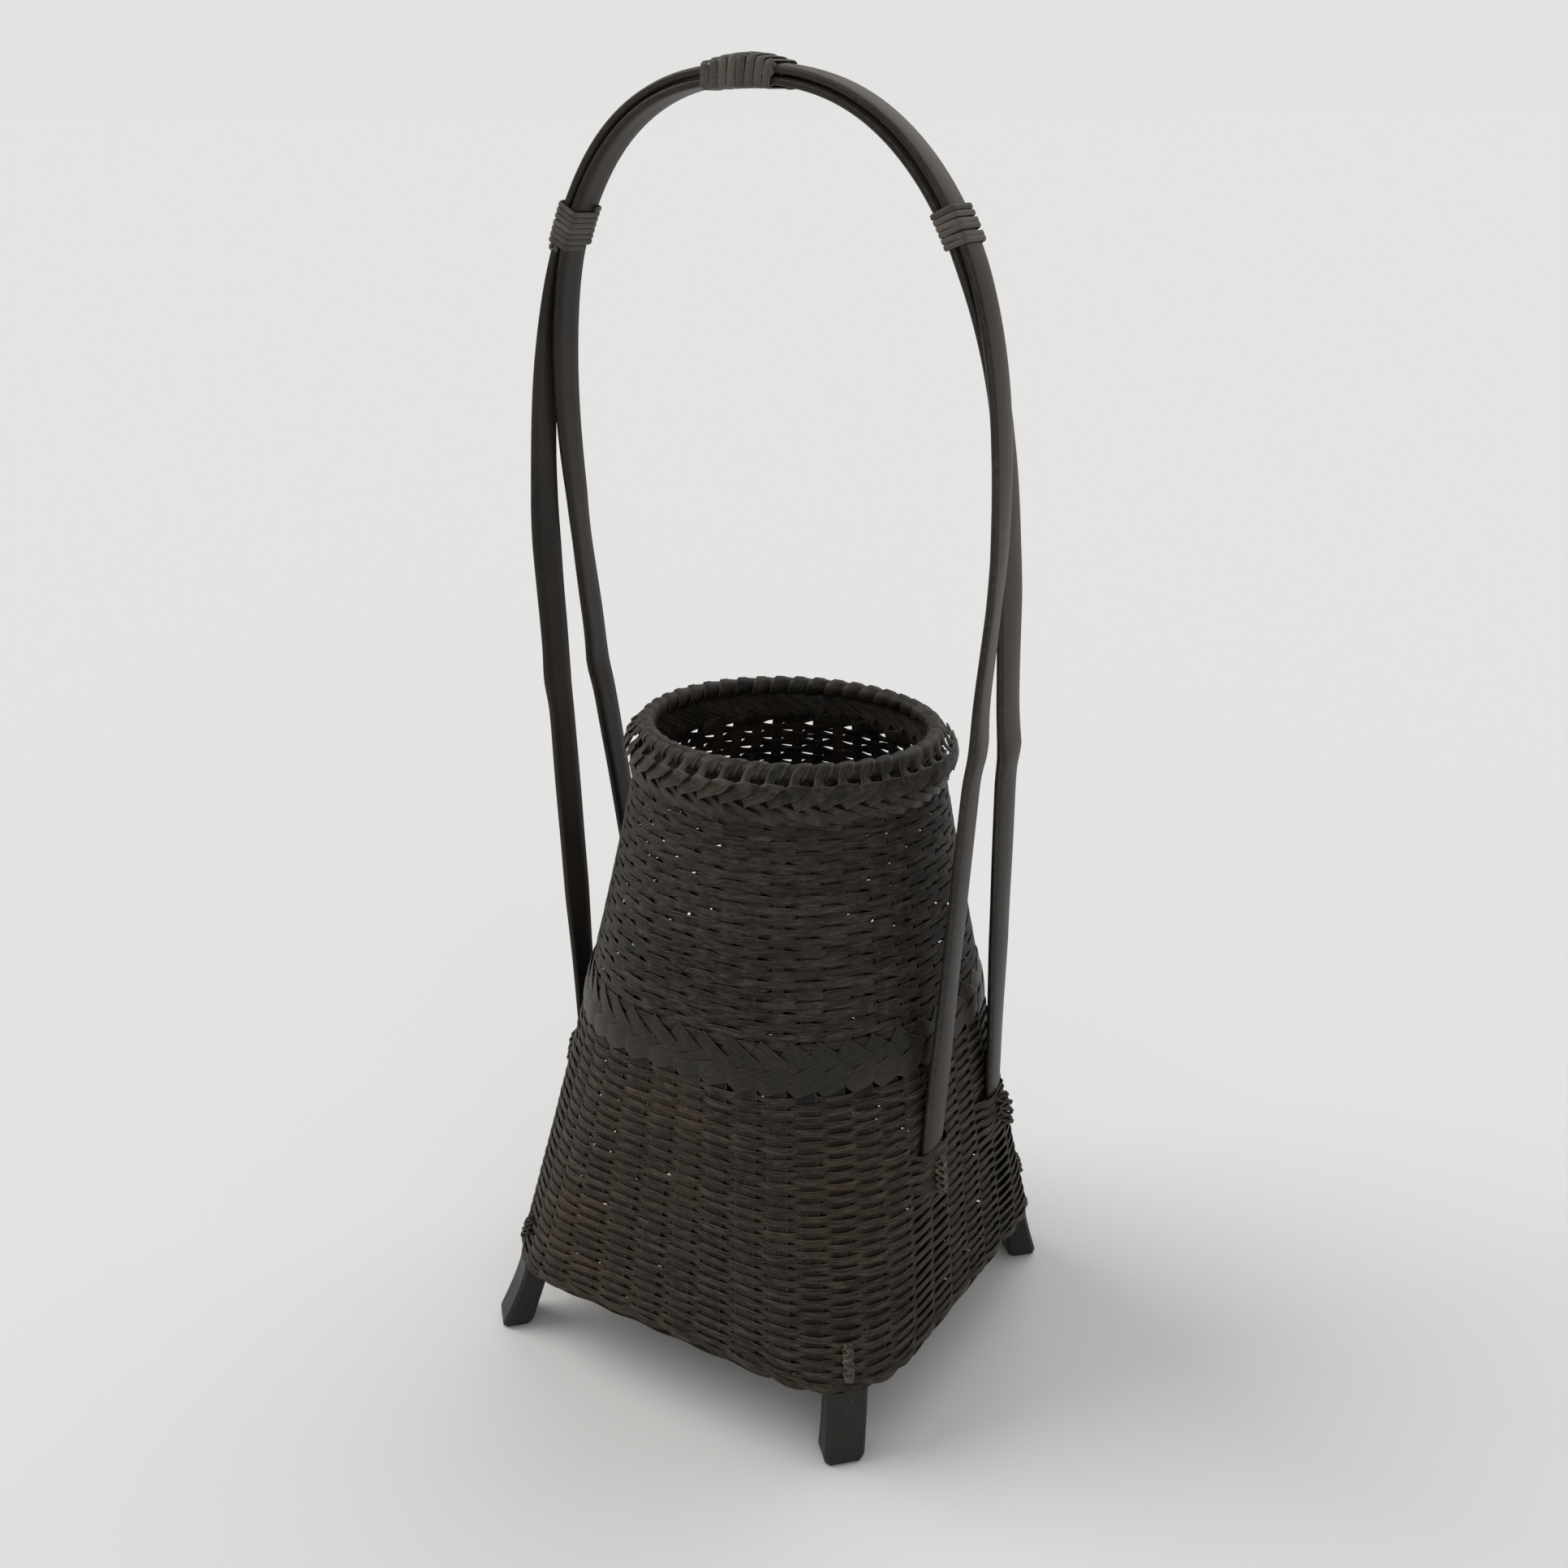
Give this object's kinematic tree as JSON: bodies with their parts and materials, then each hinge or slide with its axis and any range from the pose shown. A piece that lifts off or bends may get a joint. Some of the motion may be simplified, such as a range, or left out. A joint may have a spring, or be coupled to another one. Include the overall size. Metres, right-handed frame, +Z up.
{
  "type": "ikebana basket",
  "caption": "Dark bamboo flower basket with a square twill-woven base, a round wrapped rim, splayed feet and a tall arched handle bound with cane.",
  "frame": {"origin": "on the floor under the middle of the square base, within 2 mm of the middle of the overall box", "axes": "+Z up; the handle's arch stands along X, turned two degrees; +X and -Y are the two sides the picture shows"},
  "size_m": [0.1802, 0.163, 0.4589],
  "materials": {
    "woven_bamboo": "dark stained split bamboo weave, satin",
    "rim_bamboo": "dark stained flat bamboo strips, satin",
    "split_bamboo": "smooth dark stained bamboo skin, soft sheen",
    "foot_bamboo": "dark stained bamboo block, satin",
    "cane": "grey-brown flat cane, dry"
  },
  "bodies": {
    "root": {"floor_panel": "woven_bamboo", "lower_wall": "woven_bamboo", "mid_braid": "woven_bamboo", "upper_wall": "woven_bamboo", "neck_row_lower": "woven_bamboo", "neck_row_upper": "woven_bamboo", "collar_braid": "rim_bamboo", "rim_ring": "rim_bamboo", "inner_band": "rim_bamboo", "handle_front_strip": "split_bamboo", "handle_back_strip": "split_bamboo", "floor_slat_lower": "split_bamboo", "floor_slat_upper": "split_bamboo", "foot_right": "foot_bamboo", "foot_back": "foot_bamboo", "foot_left": "foot_bamboo", "foot_front": "foot_bamboo", "left_shoulder_binding": "cane", "right_shoulder_binding": "cane", "apex_binding": "cane", "apex_filler": "cane", "foot_tie_right": "cane", "foot_tie_back": "cane", "foot_tie_left": "cane", "foot_tie_front": "cane", "leg_tie_front_left": "cane", "leg_tie_front_right": "cane", "leg_tie_back_left": "cane", "leg_tie_back_right": "cane"}
  },
  "joints": []
}
